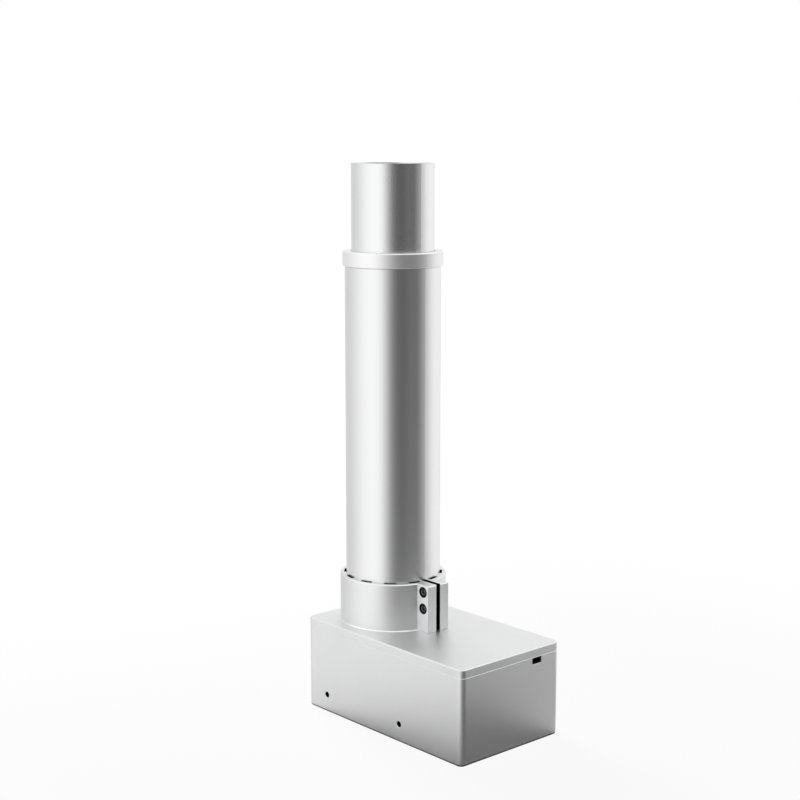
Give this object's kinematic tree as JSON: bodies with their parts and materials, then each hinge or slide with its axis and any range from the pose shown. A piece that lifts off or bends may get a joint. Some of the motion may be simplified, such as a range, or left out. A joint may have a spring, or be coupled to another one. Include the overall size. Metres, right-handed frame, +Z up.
{
  "type": "electric lifting column",
  "caption": "Round two-stage electric lifting column: keyed aluminium tubes in a split clamp collar on a closed rectangular drive box.",
  "frame": {"origin": "underside of the box, on the column's axis", "axes": "+Z up along the column, +X towards the box's short end with the socket, +Y to its left side"},
  "size_m": [0.226, 0.132, 0.5524],
  "materials": {
    "satin_aluminium": "satin bead-blasted, clear anodised",
    "cast_aluminium": "as cast, machined seats",
    "dark_screw_steel": "black oxide",
    "zinc_steel": "bright zinc",
    "bearing_steel": "ground",
    "bronze": "machined",
    "copper": "enamelled wire",
    "guide_plastic": "moulded acetal",
    "seal_rubber": "moulded",
    "black_plastic": "moulded",
    "board_laminate": "solder mask",
    "magnet_ferrite": "sintered"
  },
  "bodies": {
    "frame": {"base_housing": "satin_aluminium", "top_cover": "satin_aluminium", "case_screws": "zinc_steel", "clamp_collar": "satin_aluminium", "clamp_screws": "dark_screw_steel", "collar_screws": "zinc_steel", "outer_tube": "satin_aluminium", "cap_ring": "satin_aluminium", "wiper_seal": "seal_rubber", "upper_guide_bush": "guide_plastic", "gearbox_case": "cast_aluminium", "bearing_carrier": "cast_aluminium", "gearbox_screws": "zinc_steel", "carrier_screws": "zinc_steel", "lower_bearing_outer": "bearing_steel", "upper_bearing_outer": "bearing_steel", "bearing_clip": "bearing_steel", "shaft_bearing_outers": "bearing_steel", "motor_can": "zinc_steel", "motor_magnets": "magnet_ferrite", "motor_brushes": "black_plastic", "front_bell": "cast_aluminium", "rear_cap": "black_plastic", "bell_screws": "zinc_steel", "motor_screws": "zinc_steel", "hall_sensor": "board_laminate", "control_board": "board_laminate", "board_parts": "black_plastic", "board_standoffs": "zinc_steel", "board_screws": "zinc_steel", "terminal_block": "black_plastic", "motor_leads": "black_plastic", "connector_socket": "black_plastic", "connector_contacts": "copper"},
    "rotor": {"worm": "bearing_steel", "worm_pin": "bearing_steel", "motor_shaft": "bearing_steel", "shaft_bearing_inners": "bearing_steel", "armature": "bearing_steel", "windings": "copper", "commutator": "copper", "encoder_magnet": "magnet_ferrite"},
    "spindle": {"lead_screw": "bearing_steel", "worm_wheel": "bronze", "wheel_key": "bearing_steel", "wheel_clip": "bearing_steel", "lower_bearing_inner": "bearing_steel", "upper_bearing_inner": "bearing_steel", "stop_washer": "zinc_steel", "stop_bolt": "zinc_steel"},
    "lift": {"inner_tube": "satin_aluminium", "top_end_plate": "satin_aluminium", "top_plate_screws": "zinc_steel", "nut_carrier": "satin_aluminium", "foot_screws": "zinc_steel", "lift_nut": "bronze", "nut_screws": "zinc_steel", "lower_guide_bush": "guide_plastic"}
  },
  "joints": [
    {"name": "motor_spin", "type": "hinge", "parent": "frame", "child": "rotor", "pos_m": [0, 0.03, 0.036], "axis": [-1, 0, 0], "range_deg": [-112322, 218882]},
    {"name": "spindle_spin", "type": "hinge", "parent": "frame", "child": "spindle", "pos_m": [0, 0, 0.036], "axis": [0, 0, -1], "range_deg": [-5616.1, 10944.1]},
    {"name": "lift_travel", "type": "slide", "parent": "frame", "child": "lift", "axis": [0, 0, 1], "range_m": [-0.078, 0.152]}
  ],
  "couplings": [
    {"joint": "spindle_spin", "follows": "lift_travel", "rad_per_m": 1256.6},
    {"joint": "motor_spin", "follows": "lift_travel", "rad_per_m": 25133}
  ]
}
